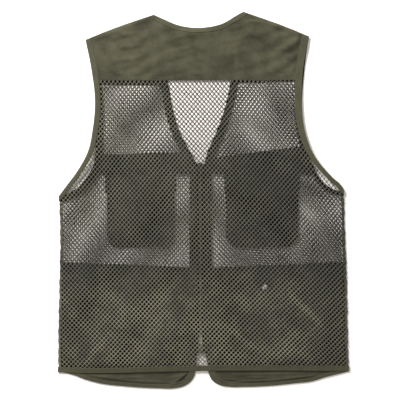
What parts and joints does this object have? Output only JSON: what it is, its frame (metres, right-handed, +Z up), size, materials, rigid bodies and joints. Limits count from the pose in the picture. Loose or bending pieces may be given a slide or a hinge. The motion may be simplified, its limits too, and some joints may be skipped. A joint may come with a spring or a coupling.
{
  "type": "utility vest, laid flat with its back up",
  "caption": "sleeveless mesh vest with plain yoke, bellows pockets and a front zip, laid flat face down, for dressing a shelf, table or wardrobe scene",
  "frame": {"origin": "middle of the laid vest's outline, on the surface it lies on", "axes": "+Y towards the neck, +X towards the wearer's right side, +Z up out of the back"},
  "size_m": [0.5734, 0.7421, 0.01],
  "materials": {
    "twill": "olive cotton twill, matt",
    "net": "olive knitted net, soft sheen",
    "binding": "olive woven tape with stitch rows",
    "zip_tape": "olive woven zip tape",
    "zip_chain": "moulded olive teeth",
    "zip_metal": "dull grey plated metal"
  },
  "bodies": {
    "vest": {"back_arm_binding_left": "binding", "back_arm_binding_right": "binding", "back_hem_binding": "binding", "back_net": "net", "back_yoke": "twill", "chest_band_left": "twill", "chest_band_right": "twill", "chest_flap_left": "twill", "chest_flap_right": "twill", "chest_pocket_left": "twill", "chest_pocket_right": "twill", "flap_stud": "zip_metal", "front_arm_binding_left": "binding", "front_arm_binding_right": "binding", "front_facing_left": "twill", "front_facing_right": "twill", "front_hem_binding_left": "binding", "front_hem_binding_right": "binding", "front_net_left": "net", "front_net_right": "net", "front_yoke_left": "twill", "front_yoke_right": "twill", "lower_flap_left": "twill", "lower_flap_right": "twill", "lower_front_left": "twill", "lower_front_right": "twill", "lower_pocket_left": "twill", "lower_pocket_right": "twill", "neck_binding": "binding", "side_seam_left": "net", "side_seam_right": "net", "window_net_left": "net", "window_net_right": "net", "zip_box": "zip_chain", "zip_chain": "zip_chain", "zip_slider": "zip_metal", "zip_tape": "zip_tape"},
    "pull_tab": {"pull_tab": "zip_metal"}
  },
  "joints": [
    {"name": "pull_tab_hinge", "type": "hinge", "parent": "vest", "child": "pull_tab", "pos_m": [-0.0059, 0.064, 0.0013], "axis": [1, 0, 0], "range_deg": [0, 170]}
  ]
}
